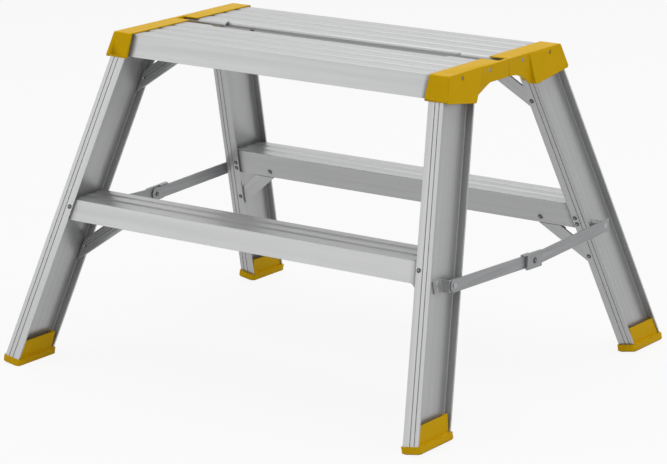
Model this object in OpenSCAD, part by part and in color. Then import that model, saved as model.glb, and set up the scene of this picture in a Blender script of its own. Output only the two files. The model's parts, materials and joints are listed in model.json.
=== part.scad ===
// Folding builders trestle: two identical ladder-like halves hinged under a split platform.
// Origin on the ground below the middle of the platform, X along the platform, front half at -Y.

/* [Overall] */
// Height of the platform, at the top of its end caps
platform_h = 500; // [420:10:620]
// Length of the platform over its end caps
platform_l = 620; // [520:10:800]
// Depth of the platform over the end caps of both halves
platform_d = 300; // [280:2:340]

/* [Stiles] */
// Lean of the stiles, seen from the end
lean = 21.2; // [18:0.2:24]
// Splay of the stiles, seen from the front
splay = 9.8; // [6:0.2:12]
// Distance from the end of the platform to the middle of a stile, at platform height
stile_inset = 22; // [21:0.5:26]
// Width of the stile's flanges
stile_w = 26.5; // [24:0.5:30]
// Depth of the stile over both flanges
stile_d = 77; // [70:1:84]
// Thickness of the flanges
flange_t = 2.6; // [2:0.1:3.2]
// Thickness of the web
web_t = 2.2; // [1.8:0.1:3]
// Radius of the fillets between web and flanges
web_fillet_r = 2; // [1:0.5:3]
// Width of the grooves along the flanges
groove_w = 1.2; // [0.8:0.1:1.6]
// Depth of the grooves along the flanges
groove_depth = 0.6; // [0.3:0.1:0.9]
// Distance from the middle of the flange to its inner groove
groove_inner = 1.3; // [0.5:0.1:3]
// Distance from the inner groove to the outer groove
groove_pitch = 7.5; // [6:0.5:9]

/* [Treads] */
// Height of the top of the lower treads above the ground
lower_tread_h = 250.5; // [220:0.5:300]
// Thickness of the treads' top plates under their grooves
plate_t = 2.2; // [1.8:0.1:3]
// Thickness of the treads' skirts
skirt_t = 2; // [1.6:0.1:2.6]
// Depth of the grooves along the treads' tops
tread_groove_depth = 1.2; // [0.6:0.1:1.6]
// Width of those grooves at their bottom
tread_groove_w = 5; // [3:0.5:7]
// Width of the slope on each side of those grooves
tread_groove_slope = 4; // [1:0.5:5]
// Radius of the treads' long edges
tread_edge_r = 2; // [1:0.5:3]
// Width of the bead along the lower edges of the outer skirts
bead_w = 4; // [3:0.5:6]
// Depth of the top tread's skirts below its top
top_skirt_h = 33; // [28:1:40]
// Depth of the lower tread's outer skirt below its top
lower_skirt_h = 30; // [26:1:38]
// Depth of the lower tread's inner skirt below its top
inner_skirt_h = 41; // [36:1:48]
// Width of the gap between the two top treads
tread_gap = 26; // [22:1:32]
// Height of the lip along the inner edge of the top treads
tread_lip_h = 7.5; // [5:0.5:8]
// Radius of the edge above that lip
tread_lip_r = 5; // [2:0.5:5]
// Length of the hand slot between the top treads
slot_l = 440; // [380:5:460]
// Depth of the hand slot in each top tread
slot_depth = 6; // [3:0.5:10]
// Number of grooves along a top tread
top_grooves = 3; // [2:1:4]
// Number of grooves along a lower tread
lower_grooves = 2; // [1:1:3]

/* [End caps] */
// Width of a cap's strip along the end of the platform
cap_strip_w = 34.4; // [32:0.2:40]
// Thickness of the strip above the tread
cap_strip_t = 1.8; // [1.4:0.1:2.4]
// Wall of the shroud in front of the stile, measured level
cap_wall = 2.8; // [2.4:0.1:3.6]
// Thickness of the shroud's side wall
cap_side_t = 3; // [2:0.2:4]
// Depth of the shroud's front below the platform
cap_front_h = 37; // [34:1:46]
// Depth of the shroud's inner corner below the platform
cap_inner_h = 48; // [42:1:54]
// Thickness of the hinge leaf
leaf_t = 6.5; // [5:0.5:8]
// Depth of the hinge leaf below the platform
leaf_h = 26.5; // [25:0.5:30]
// Distance from the hinge to the end of the strip on the cap with the leaf
strip_setback = 12; // [10:1:24]
// Distance from the hinge to the end of the strip on the cap with the lug
lug_strip_setback = 8; // [7:0.5:14]
// Distance from the hinge to the start of the sweep below the leaf
leaf_sweep = 44; // [38:1:50]
// Height of the upright corner below that sweep
leaf_corner_h = 5.5; // [3:0.5:8]
// Radius of the bend from that sweep to the level part of the leaf
leaf_bend_r = 26; // [15:1:35]
// Distance from the hinge to the start of the sweep on the cap with the lug
lug_sweep = 12; // [8:1:20]
// Reach of the lug cap's raised side past the stile, at its lower corner
lug_wall = 14; // [8:0.5:18]
// Setback of the leaf cap's raised side behind the stile's inner face, at its lower corner
side_setback = 8.5; // [4:0.5:12]
// Radius of the cap's front top edge and of its lower corners
cap_edge_r = 3; // [1:0.5:5]
// Distance from the stile's middle to the end of the cap's inner wall
cap_inner_reach = 8.8; // [6:0.2:11]
// Depth of a cap screw's axis below the platform
screw_depth = 7.7; // [7.2:0.1:8.2]
// Distance from the hinge to the nearer cap screw
screw_near = 44.5; // [40:0.5:50]
// Distance between the two screws of a cap
screw_pitch = 73.5; // [66:0.5:78]
// Radius of a cap screw's shank
screw_r = 1.9; // [1.5:0.1:2.2]
// Radius of a cap screw's head
screw_head_r = 3.4; // [3:0.1:4]
// Radius of the flat face of a cap screw's head
screw_face_r = 2.7; // [2.2:0.1:2.9]
// Height of a cap screw's head
screw_head_h = 1.7; // [1.2:0.1:2.2]
// Length of a cap screw under its head
screw_l = 22; // [16:1:28]
// Radius of the screw ports under the top treads
port_r = 4.4; // [4:0.1:4.6]

/* [Hinge] */
// Radius of the hinge eyes
eye_r = 6; // [5:0.5:7]
// Radius of the hinge pins
pin_r = 3; // [2.5:0.1:3.5]
// Width of the hinge lug behind the leaf
lug_w = 20; // [16:1:22]
// Length of the hinge lug from the pin back along the leaf
lug_l = 30; // [24:1:34]
// Gap between the end of the leaf and the plate of the other cap beside it
seam_gap = 1.2; // [0.5:0.1:2]
// Thickness of the leaf left outside the end of the pin
pin_cover = 2; // [1.5:0.1:2.5]

/* [Feet] */
// Height of the foot's base
foot_h = 11; // [9:0.5:14]
// Width of the foot's base across the stile
foot_w = 33; // [30:0.5:38]
// Overhang of the base in front of and behind the stile
foot_over = 2.8; // [0.5:0.1:4]
// Height of the plug above the base
foot_plug_h = 26; // [22:1:40]
// Depth of the plugs' outer faces behind the edges of the stile's flanges
plug_recess = 2; // [1:0.5:6]
// Thickness of the plugs' walls
plug_wall = 2.5; // [1.5:0.1:3.5]
// Slant of the plugs' inner ends away from the stile's inner flange
plug_slant = 12; // [2:1:16]
// Width of the flat strip that stands on the ground
sole_flat = 8; // [5:0.5:12]
// Radius of the base's upright corners
foot_corner_r = 5; // [2:0.5:8]
// Bevel around the base's lower edge
foot_bevel = 1.5; // [0.5:0.1:2.5]

/* [Braces] */
// Distance between a brace's two rivets
brace_l = 98; // [90:1:104]
// Width of a brace
brace_w = 24; // [20:1:26]
// Thickness of a brace
brace_t = 2.6; // [2.4:0.1:3]
// Angle of a brace above level, in the plane of its half
brace_angle = 38.5; // [34:0.5:42]
// Distance from a brace's rivets to its ends
brace_end = 10; // [9:0.5:12]
// Length over which the two levels of a brace's step are joined
brace_overlap = 6; // [4:0.5:8]
// Height of a brace's tread rivet above the lower edge of the skirt
brace_lift = 10.5; // [9:0.5:12]
// Distance from the flange's edge to a brace's stile rivet
brace_rivet_edge = 5; // [4.5:0.1:6]
// Height of the brace's ribs
brace_rib_h = 0.6; // [0.3:0.1:1]
// Number of ribs along a brace
brace_ribs = 4; // [2:1:5]

/* [Stays] */
// Height of the stays' end pivots above the ground
stay_h = 213; // [200:1:224]
// Distance from the stile's inner face to a stay's end pivot, measured level
stay_inset = 28.9; // [24:0.1:34]
// Sag of a stay's middle pivot below its end pivots
stay_sag = 8; // [6:0.5:10]
// Width of the stay bars
bar_w = 19.5; // [16:0.5:20]
// Thickness of the stay bars
bar_t = 2.5; // [2:0.1:3]
// Height of the clip plate at the middle of a stay
clip_h = 24; // [22:0.5:26]
// Length of the clip plate
clip_l = 40; // [34:1:44]
// Thickness of the clip plate, from the inner face of the bar that it is part of
clip_t = 4; // [3:0.1:5]
// Reach of the clip plate's lip from the middle pivot along the other bar
lip_l = 30; // [24:1:34]
// Distance from the middle pivot to where the lip folds in over the other bar
lip_start = 10; // [8:1:16]
// Thickness of the brackets that carry the stays
bracket_t = 2.5; // [2:0.1:3]
// Height of a bracket
bracket_h = 18; // [14:0.5:20]
// Length of a bracket's foot and of its ear
bracket_l = 20; // [18:0.5:24]
// Distance between a bracket's two rivets
bracket_rivet_pitch = 9; // [8.5:0.5:10]
// Radius of the posts that carry the bars with the clip plates
post_r = 6.5; // [5.5:0.1:7.5]
// Depth of the sunk heads of the rivets in the posts
sunk_h = 1.5; // [1:0.1:1.8]
// Radius of the stays' pivot rivets
pivot_r = 2.5; // [2:0.1:3]
// Radius of the pivot rivets' heads
pivot_head_r = 4.5; // [4:0.1:5.5]
// Height of the heads of the bracket rivets and pivot rivets
low_head_h = 0.8; // [0.5:0.1:1.2]
// Distance from the stiles' outer edges to the bracket's ear, at the end pivots
stay_clear = 1.8; // [1.5:0.1:4]

/* [Rivets] */
// Radius of the tread and brace rivets
rivet_r = 2; // [1.6:0.1:2.4]
// Radius of the rivets' heads
rivet_head_r = 3.6; // [3.2:0.1:4]
// Height of the rivets' heads
rivet_head_h = 1.2; // [0.8:0.1:1.6]
// Distance from the flange's inner edge to the tread rivets
tread_rivet_edge = 5.2; // [4.6:0.1:6]
// Depth of the outer tread rivets below the tread's top
tread_rivet_drop = 10.5; // [9:0.5:12]
// Depth of the first inner tread rivet below the lower tread's top
inner_rivet_drop = 23; // [20:0.5:26]
// Distance between the two inner tread rivets, along the stile
inner_rivet_pitch = 11; // [9.5:0.5:12]

/* [Fits] */
// Gap between pieces that are riveted or pressed together
fit = 0.1; // [0.05:0.05:0.2]
// Radial clearance of the rivets, screws and pins in their holes
hole_fit = 0.05; // [0.02:0.01:0.08]
// Gap between pieces that move past each other
run_gap = 0.4; // [0.3:0.1:0.6]

/* [Hidden] */

$fn = 48;
LEFT = -1;
RIGHT = 1;
aluminium = [0.80, 0.81, 0.82];
plastic = [0.93, 0.76, 0.12];
steel = [0.66, 0.67, 0.68];
dark_steel = [0.30, 0.30, 0.32];
// A length that reaches past the whole object
far = 1500;
// An overlap that lets cuts run clear of the faces that they open
eps = 0.5;
// Length of the cuts for rivet holes, half of it on each side of a rivet's head
rivet_cut_l = 6 * flange_t;
// Number of straight pieces in a rounded corner of an outline, and in the long arc below the lug
corner_steps = 6;
sweep_steps = 10;

// Rise of the stiles' lines: how far they move in Y and in X for each millimetre of height
slope_y = tan(lean) / cos(splay);
slope_x = tan(splay);
plane_lean = atan(slope_y);
stile_top_y = platform_d / 2 - cap_wall;
stile_top_x = platform_l / 2 - stile_inset;
ground_y = stile_top_y + platform_h * slope_y;
ground_x = stile_top_x + platform_h * slope_x;
// How far a flange's edge stands out of the level line through its middle
flange_twist = stile_w / 2 * sin(splay) * slope_y;

// Sole of the foot and seat of the stile, in the splayed frame
sole_z = (foot_w / 2 - sole_flat) * tan(splay);
seat_z = sole_z + foot_h;

top_tread_z = platform_h - cap_strip_t;
tread_end_x = platform_l / 2 - leaf_t - fit;
leaf_x = platform_l / 2 - leaf_t;
screw_z = platform_h - screw_depth;
stile_top_z = screw_z - port_r - 2 * fit;
leaf_z = platform_h - leaf_h;
hinge_z = leaf_z + eye_r;
// Lower corners of the caps' shrouds, and the stile's inner face there
cap_front_z = platform_h - cap_front_h;
cap_inner_z = platform_h - cap_inner_h;
stile_level_d = stile_d / cos(lean);
cap_inner_y = outer_y(cap_inner_z) + stile_level_d;
// Places across the right stile: outside of the cap's side wall, and end of its inner wall
cap_side_b = stile_inset * cos(splay);
cap_inner_b = -cap_inner_reach;

// Places across the right stile: ends of the skirts and braces, and the rivets
tread_end_b = -web_t / 2 - web_fillet_r - fit;
rivet_edge_b = -stile_w / 2 + tread_rivet_edge;
brace_edge_b = -stile_w / 2 + brace_rivet_edge;
inner_rivet_z = lower_tread_h - inner_rivet_drop;

// Stays: middle pivot, length, and the planes that their bars move in
stay_reach = stay_inset - outer_y(stay_h) - stile_level_d;
stay_l = norm([stay_reach, stay_sag]);
stay_tilt = atan2(stay_sag, stay_reach);
ear_x = ground_x - stay_h * slope_x + stile_w / 2 / cos(splay) + stay_clear;
plain_x = ear_x + bracket_t + run_gap;
clip_x = plain_x + bar_t + run_gap;

// Y of the stile's outer face, at the middle of the flange, for a height z
function outer_y(z) = -ground_y + z * slope_y;
// Y of the outer face of a tread's outer skirt and of the inner face of its inner skirt
function outer_skirt_y(z) = outer_y(z) + flange_t / cos(lean) + flange_twist + fit;
function inner_skirt_y(z) = outer_y(z) + (stile_d - flange_t) / cos(lean) - fit;
skirt_w = skirt_t / cos(plane_lean);
// Distance along the stile to height z, for a point b across the flange and d deep
function along(z, b, d) =
    (z - b * sin(splay) + d * sin(lean) * cos(splay)) / (cos(lean) * cos(splay));
// Points on an arc about c
function arc(c, r, a0, a1, n) = [
    for (i = [0 : n]) let (a = a0 + (a1 - a0) * i / n) c + r * [cos(a), sin(a)]];
// Points that round the corner p between the points before and after it
function rounded(before, p, after, r) = let (
    u = (before - p) / norm(before - p),
    v = (after - p) / norm(after - p),
    half = acos(u * v) / 2,
    c = p + (u + v) / norm(u + v) * r / sin(half),
    t0 = p + u * r / tan(half) - c,
    t1 = p + v * r / tan(half) - c,
    a0 = atan2(t0[1], t0[0]),
    turn = atan2(t1[1], t1[0]) - a0)
    arc(c, r, a0, a0 + turn - 360 * round(turn / 360), corner_steps);

// Places and mirrored or turned copies

module at_side(side) {
    if (side == RIGHT) children();
    else mirror([1, 0, 0]) children();
}

module both_sides() {
    for (side = [LEFT, RIGHT]) at_side(side) children();
}

module rear() {
    rotate([0, 0, 180]) children();
}

// Frame splayed with the right front stile: x across it, y level, z up along the splay
module in_splay() {
    translate([ground_x, -ground_y, 0]) rotate([0, -splay, 0]) children();
}

// Frame of the right front stile: x across the flange, y into the stile, z along it
module in_stile() {
    translate([ground_x, -ground_y, 0]) rotate([-lean, -splay, 0]) children();
}

// Plane of the front half's outer faces: x level, y up the lean, z outwards
module in_plane() {
    translate([0, -ground_y, 0]) rotate([90 - plane_lean, 0, 0]) children();
}

// Extrudes an outline drawn in Y and Z along X, from x0 to x1
module along_x(x0, x1) {
    translate([x0, 0, 0]) rotate([90, 0, 90]) linear_extrude(x1 - x0) children();
}

module above(z) {
    translate([-far, -far, z]) cube([2 * far, 2 * far, far]);
}

// Everything on the outer side of the plane b across the right stile, and on its inner side
module outside(b) {
    in_splay() translate([b, -far, -far]) cube(2 * far);
}

module inside(b) {
    in_splay() translate([b - 2 * far, -far, -far]) cube(2 * far);
}

// Points of a rivet's shank and tail along z, below z = 0 and the grip
function rivet_tail(r, grip, head_r, tail_h) = let (tail_r = tail_h > 0 ? (r + head_r) / 2 : r) [
    [0, -grip - tail_h], [tail_r, -grip - tail_h], [tail_r, -grip], [r, -grip]];

// Rivet along z whose head stands on z = 0, or that has no head
module rivet(r, grip, head_r, head_h, tail_h) {
    rotate_extrude() polygon(concat(rivet_tail(r, grip, head_r, tail_h), [[r, 0]],
        head_h > 0 ? [[head_r, 0], [head_r, head_h / 3], [head_r / 2, head_h], [0, head_h]] : [[0, 0]]));
}

// Rivet along z with its head sunk below z = 0
module sunk_rivet(r, grip, head_r, tail_h) {
    rotate_extrude() polygon(concat(
        rivet_tail(r, grip, head_r, tail_h), [[r, -sunk_h], [head_r, 0], [0, 0]]));
}

// Stiles

module stile_section() {
    difference() {
        union() {
            for (d = [0, stile_d - flange_t]) translate([-stile_w / 2, d]) square([stile_w, flange_t]);
            translate([-web_t / 2, flange_t / 2]) square([web_t, stile_d - flange_t]);
            for (d = [flange_t, stile_d - flange_t - web_fillet_r], s = [LEFT, RIGHT])
                translate([s > 0 ? web_t / 2 : -web_t / 2 - web_fillet_r, d]) square(web_fillet_r);
        }
        for (d = [flange_t + web_fillet_r, stile_d - flange_t - web_fillet_r], s = [LEFT, RIGHT])
            translate([s * (web_t / 2 + web_fillet_r), d]) circle(web_fillet_r);
        for (b = [-groove_inner, groove_pitch - groove_inner], d = [0, stile_d])
            translate([b, d]) square([groove_w, 2 * groove_depth], center = true);
    }
}

// Holes for the tread, brace and bracket rivets in the right stile, or for the post's in the left
module stile_holes(side) {
    in_stile() {
        tread_rivet_places() rivet_hole();
        brace_stile_rivet_places() rivet_hole();
    }
    if (side == RIGHT) in_splay() bracket_rivet_places() rivet_hole();
    else stay_pivot_hole();
}

module rivet_hole() {
    cylinder(r = rivet_r + hole_fit, h = rivet_cut_l, center = true);
}

module stile(side) {
    color(aluminium) at_side(side) difference() {
        in_stile() translate([0, 0, -far]) linear_extrude(2 * far) stile_section();
        in_splay() translate([-far, -far, seat_z - 2 * far]) cube(2 * far);
        above(stile_top_z);
        stile_holes(side);
    }
}

// Treads

// Points of n grooves with sloping sides, spread evenly over a plate from y0 to y1 with its top at z
function grooves(y0, y1, z, n) = [
    for (i = [1 : n], k = [[-1, 1], [-1, 0], [1, 0], [1, 1]]) [
        y0 + i * (y1 - y0) / (n + 1) + k[0] * (tread_groove_w / 2 + k[1] * tread_groove_slope),
        z - (1 - k[1]) * tread_groove_depth]];
// Underside of a tread's plate whose top is at z
function plate_under(z) = z - tread_groove_depth - plate_t;

// Points of skirts that lean with the stiles, for a plate whose top is at z: the outer skirt's
// face up to the round edge and its back with a bead, and the same of the plain inner skirt
function outer_face(z, h) = let (b = z - h, c = z - tread_edge_r) concat(
    [[outer_skirt_y(b), b]],
    arc([outer_skirt_y(c) + tread_edge_r / cos(plane_lean), c], tread_edge_r,
        180 - plane_lean, 90, corner_steps));
function outer_back(z, h) = let (b = z - h, c = b + skirt_t, p = plate_under(z)) [
    [outer_skirt_y(p) + skirt_w, p], [outer_skirt_y(c) + skirt_w, c],
    [outer_skirt_y(c) + bead_w, c], [outer_skirt_y(b) + bead_w, b]];
function inner_face(z, h) = let (b = z - h, c = z - tread_edge_r) concat(
    arc([inner_skirt_y(c) - tread_edge_r / cos(plane_lean), c], tread_edge_r,
        90, -plane_lean, corner_steps),
    [[inner_skirt_y(b), b]]);
function inner_back(z, h) = let (b = z - h, p = plate_under(z)) [
    [inner_skirt_y(b) - skirt_w, b], [inner_skirt_y(p) - skirt_w, p]];

// Outline of the top tread with its inner edge at y1
module top_tread_outline(y1) {
    z = top_tread_z;
    p = plate_under(z);
    mid = p + plate_t / 2;
    lip_z = z - tread_lip_h;
    polygon(concat(
        outer_face(z, top_skirt_h),
        grooves(outer_skirt_y(z), -tread_gap / 2 - slot_depth, z, top_grooves),
        arc([y1 - tread_lip_r, z - tread_lip_r], tread_lip_r, 90, 0, corner_steps),
        [[y1, lip_z], [y1 - skirt_t, lip_z], [y1 - skirt_t, p]],
        outer_back(z, top_skirt_h)));
    polygon(concat(
        [[inner_skirt_y(mid) - skirt_w, mid], [inner_skirt_y(mid), mid]],
        [[inner_skirt_y(z - top_skirt_h), z - top_skirt_h]],
        inner_back(z, top_skirt_h)));
}

// Cylinders along the top tread's screw ports, for the ports or for their bores
module screw_ports(r) {
    for (y = [screw_near, screw_near + screw_pitch]) translate([-tread_end_x, -y, screw_z])
        rotate([0, 90, 0]) cylinder(r = r, h = 2 * tread_end_x);
}

module lower_tread_outline() {
    z = lower_tread_h;
    polygon(concat(
        outer_face(z, lower_skirt_h),
        grooves(outer_skirt_y(z), inner_skirt_y(z), z, lower_grooves),
        inner_face(z, inner_skirt_h), inner_back(z, inner_skirt_h), outer_back(z, lower_skirt_h)));
}

module tread_holes() {
    both_sides() {
        in_stile() tread_rivet_places() rivet_hole();
        in_plane() brace_tread_rivet_places() rivet_hole();
    }
}

// The skirts stop at the stiles' webs and the plate runs on to the end caps
module top_tread() {
    edge_y = -tread_gap / 2;
    color(aluminium) difference() {
        union() {
            along_x(-tread_end_x, tread_end_x) top_tread_outline(edge_y - slot_depth);
            both_sides() along_x(slot_l / 2, tread_end_x) top_tread_outline(edge_y);
            screw_ports(port_r);
        }
        screw_ports(screw_r + hole_fit);
        both_sides() difference() {
            outside(tread_end_b);
            above(stile_top_z + fit);
        }
        tread_holes();
    }
}

module lower_tread() {
    color(aluminium) difference() {
        along_x(-ground_x, ground_x) lower_tread_outline();
        both_sides() outside(tread_end_b);
        tread_holes();
    }
}

// End caps

// Wall of a cap around the stile's top, in Y and Z, with its lower inner corner at y_low
module shroud_outline(y_low) {
    top = [outer_y(platform_h) - cap_wall, platform_h];
    low = [outer_y(cap_front_z) - cap_wall, cap_front_z];
    inner = [y_low, cap_inner_z];
    end = [outer_y(platform_h) + stile_level_d + cap_wall, platform_h];
    polygon(concat(
        rounded(end, top, low, cap_edge_r), rounded(top, low, inner, cap_edge_r),
        rounded(low, inner, end, cap_edge_r), [end]));
}

// Plate from the shroud to y_end beside the hinge, above the points of its lower edge
module leaf_outline(lower_edge, y_end) {
    polygon(concat(
        [[outer_y(platform_h), platform_h], [outer_y(leaf_z), leaf_z]], lower_edge,
        [[y_end, leaf_z], [y_end, platform_h]]));
}

// Lower edge of the leaf: upright corner and slanting sweep
leaf_edge = let (corner = [cap_inner_y + cap_wall, cap_inner_z + leaf_corner_h]) concat(
    [[corner[0], cap_inner_z], corner],
    rounded(corner, [-leaf_sweep, leaf_z], [0, leaf_z], leaf_bend_r));

// Lower edge of the lug cap's plate: an arc from the shroud's corner to the level part
lug_run = -lug_sweep - cap_inner_y - lug_wall;
lug_drop = leaf_z - cap_inner_z;
lug_arc_r = (lug_run * lug_run + lug_drop * lug_drop) / (2 * lug_drop);
lug_edge = arc([-lug_sweep, leaf_z - lug_arc_r], lug_arc_r,
    180 - acos(lug_run / lug_arc_r), 90, sweep_steps);

// End of the leaf, round below the hinge pin
module leaf_end() {
    translate([-eye_r, hinge_z]) square([2 * eye_r, leaf_h - eye_r]);
    translate([0, hinge_z]) circle(eye_r);
}

// Room inside a cap for the stile's top and the tread's end
module cap_cavity() {
    difference() {
        in_stile() translate([-far, -fit, -far])
            cube([far + cap_side_b - cap_side_t, stile_d + 2 * fit, 2 * far]);
        above(stile_top_z + fit);
    }
    difference() {
        in_stile() translate([-far, -fit, -far]) cube(2 * far);
        above(top_tread_z);
        translate([leaf_x, -far, -far]) cube(2 * far);
        difference() {
            outside(cap_inner_b);
            above(stile_top_z + fit);
        }
    }
}

module cap_screw_holes() {
    for (y = [screw_near, screw_near + screw_pitch]) translate([0, -y, screw_z]) rotate([0, 90, 0]) {
        cylinder(r = screw_r + 2 * hole_fit, h = platform_l);
        translate([0, 0, platform_l / 2 - screw_head_h])
            cylinder(r = screw_head_r + hole_fit, h = stile_w);
    }
}

// Cap body: strip to strip_end before the hinge, walls and raised side down to their lower inner
// corners at wall_y and side_y, and a plate to y_end above its lower edge
module cap_body(strip_end, wall_y, side_y, lower_edge, y_end) {
    x0 = platform_l / 2 - cap_strip_w;
    y0 = outer_y(platform_h);
    difference() {
        union() {
            along_x(x0, platform_l / 2) shroud_outline(wall_y);
            along_x(leaf_x, platform_l) shroud_outline(side_y);
            along_x(leaf_x, platform_l / 2) leaf_outline(lower_edge, y_end);
        }
        outside(cap_side_b);
        cap_cavity();
    }
    translate([x0, y0, top_tread_z]) cube([cap_strip_w, -y0 - strip_end, cap_strip_t]);
}

// Cap whose leaf reaches past the hinge on the outside
module leaf_cap() {
    color(plastic) difference() {
        union() {
            cap_body(strip_setback, cap_inner_y + cap_wall, cap_inner_y - side_setback, leaf_edge, 0);
            along_x(leaf_x, platform_l / 2) leaf_end();
        }
        cap_screw_holes();
        translate([leaf_x - eps, 0, hinge_z]) rotate([0, 90, 0])
            cylinder(r = pin_r + 2 * hole_fit, h = leaf_t - pin_cover + eps);
    }
}

// Cap whose lug carries the hinge pin behind the other half's leaf
module lug_cap() {
    x1 = leaf_x - run_gap;
    color(plastic) at_side(LEFT) difference() {
        union() {
            cap_body(lug_strip_setback, cap_inner_y + cap_wall, cap_inner_y + lug_wall, lug_edge,
                -eye_r - seam_gap);
            translate([x1 - lug_w, 0, hinge_z]) rotate([0, 90, 0]) cylinder(r = eye_r, h = lug_w);
            translate([x1 - lug_w, -lug_l, hinge_z - eye_r]) cube([lug_w, lug_l, 2 * eye_r]);
            translate([x1 - eps, -lug_l, hinge_z - eye_r])
                cube([leaf_t, lug_l - eye_r - seam_gap, 2 * eye_r]);
        }
        cap_screw_holes();
        translate([0, 0, hinge_z]) rotate([0, 90, 0]) cylinder(r = pin_r + hole_fit, h = leaf_x);
    }
}

module hinge_pin() {
    x0 = leaf_x - run_gap - lug_w;
    color(steel) at_side(LEFT) translate([x0, 0, hinge_z]) rotate([0, 90, 0])
        cylinder(r = pin_r, h = platform_l / 2 - pin_cover - run_gap - x0);
}

module cap_screws() {
    seat_x = platform_l / 2 - screw_head_h;
    color(steel) both_sides() for (y = [screw_near, screw_near + screw_pitch])
        translate([seat_x, -y, screw_z]) rotate([0, 90, 0]) {
            cylinder(r1 = screw_head_r, r2 = screw_face_r, h = screw_head_h);
            translate([0, 0, -screw_l]) cylinder(r = screw_r, h = screw_l + eps);
        }
}

// Feet

module round_rect(w, d, r) {
    for (x = [r, w - r], y = [r, d - r]) translate([x, y]) circle(r);
    translate([r, 0]) square([w - 2 * r, d]);
    translate([0, r]) square([w, d - 2 * r]);
}

// Section of the plug in one of the stile's channels, with its corners clear of the fillets
module plug_section() {
    x0 = web_t / 2 + fit;
    x1 = stile_w / 2 - plug_recess;
    y0 = flange_t + fit;
    y1 = stile_d - flange_t - fit;
    r = web_fillet_r;
    polygon([[x0, y0 + r], [x0 + r, y0], [x1, y0], [x1, y1], [x0 + r, y1], [x0, y1 - r]]);
}

// Section of the hollow behind the plug's walls, open to the web
module hollow_section() {
    y0 = flange_t + fit + plug_wall;
    translate([0, y0]) square([stile_w / 2 - plug_recess - plug_wall, stile_d - 2 * y0]);
}

// Column along the stile above an outline, with its inner end slanting off from the face d deep
module slanted_column(d) {
    difference() {
        linear_extrude(far) children();
        translate([-far, d, (seat_z + d * sin(lean)) / cos(lean)]) rotate([plug_slant, 0, 0]) cube(2 * far);
    }
}

// Hollow plugs on both sides of the web, with their tops cut like the base
module foot_plugs() {
    face = stile_d - flange_t - fit;
    difference() {
        in_stile() both_sides() difference() {
            slanted_column(face) plug_section();
            slanted_column(face - plug_wall) hollow_section();
        }
        in_splay() translate([-far, -far, seat_z + foot_plug_h]) cube(2 * far);
        in_splay() translate([-far, -far, seat_z - eps - 2 * far]) cube(2 * far);
    }
}

module foot(side) {
    y0 = seat_z * tan(lean) - foot_over;
    base_l = stile_level_d + 2 * foot_over;
    color(plastic) at_side(side) difference() {
        union() {
            in_splay() translate([-foot_w / 2, y0, sole_z + foot_bevel])
                linear_extrude(foot_h - foot_bevel) round_rect(foot_w, base_l, foot_corner_r);
            in_splay() translate([-foot_w / 2 + foot_bevel, y0 + foot_bevel, sole_z])
                linear_extrude(foot_h / 2)
                round_rect(foot_w - 2 * foot_bevel, base_l - 2 * foot_bevel, foot_corner_r - foot_bevel / 2);
            foot_plugs();
        }
        translate([-far, -far, -far]) cube([2 * far, 2 * far, far]);
    }
}

// Braces

// Depth of the brace's face that lies on the inner skirt, below the outer faces' plane
brace_depth = (inner_skirt_y(0) + ground_y - skirt_w - fit) * cos(plane_lean);
// Step that takes the brace's end from the skirt back to the stile's flange
brace_step = skirt_t + fit;

// Heights of the braces' stile rivets, lower brace first
brace_rise = brace_l * sin(brace_angle) * cos(plane_lean);
skirt_edges = [lower_tread_h - inner_skirt_h, top_tread_z - top_skirt_h];
brace_heights = [for (z = skirt_edges) z + brace_lift - brace_rise];

// Distance up the plane of the outer faces to height z, for a point d below that plane
function up_plane(z, d) = (z + d * sin(plane_lean)) / cos(plane_lean);
function brace_stile_x(z) = ground_x - z * slope_x + brace_edge_b / cos(splay);
function brace_tread_point(z) = [
    brace_stile_x(z) - brace_l * cos(brace_angle),
    up_plane(z, brace_depth) + brace_l * sin(brace_angle)];

// A ribbed bar along -x, from x0 to x1 before the origin
module brace_bar(x0, x1) {
    translate([-x1, -brace_w / 2, 0]) cube([x1 - x0, brace_w, brace_t]);
    pitch = brace_w / (brace_ribs + 1);
    for (i = [1 : brace_ribs]) translate([-x1, -brace_w / 2 + i * pitch - pitch / 4, 0])
        cube([x1 - x0, pitch / 2, brace_t + brace_rib_h]);
}

// A brace's bar at a depth below the plane of the outer faces, for its stile rivet's height z
module brace_level(z, depth) {
    translate([brace_stile_x(z), up_plane(z, brace_depth), -depth]) rotate([0, 0, -brace_angle])
        brace_bar(-2 * brace_end, brace_l + brace_end);
}

// Above the skirt's lower edge a brace lies on the skirt, and below it on the stile's flange
module brace(side, level) {
    z = brace_heights[level];
    edge = up_plane(skirt_edges[level], brace_depth) - fit;
    color(aluminium) at_side(side) difference() {
        in_plane() {
            difference() {
                brace_level(z, brace_depth);
                translate([-far, edge - brace_overlap - 2 * far, -far]) cube(2 * far);
            }
            difference() {
                brace_level(z, brace_depth + brace_step);
                translate([-far, edge, -far]) cube(2 * far);
            }
        }
        outside(tread_end_b);
        in_stile() translate([-far, stile_d - flange_t - fit, 0]) cube([2 * far, far, far]);
        in_stile() brace_stile_rivet_places() rivet_hole();
        in_plane() brace_tread_rivet_places() rivet_hole();
    }
}

// Rivet places. Each puts its children with z along the rivet, out of the visible face.

// Through a flange of the right stile: inner or outer face, at height z and b across
module through_flange(inner, b, z) {
    d = inner ? stile_d : 0;
    translate([b, d, along(z, b, d)]) rotate([inner ? -90 : 90, 0, 0]) children();
}

module tread_rivet_places() {
    lower_tread_rivet_places() children();
    upper_tread_rivet_places() children();
}

module lower_tread_rivet_places() {
    through_flange(false, rivet_edge_b, lower_tread_h - tread_rivet_drop) children();
    for (i = [0, 1]) translate([0, 0, -i * inner_rivet_pitch])
        through_flange(true, rivet_edge_b, inner_rivet_z) children();
}

module upper_tread_rivet_places() {
    for (inner = [false, true])
        through_flange(inner, rivet_edge_b, top_tread_z - inner_rivet_drop) children();
}

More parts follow.
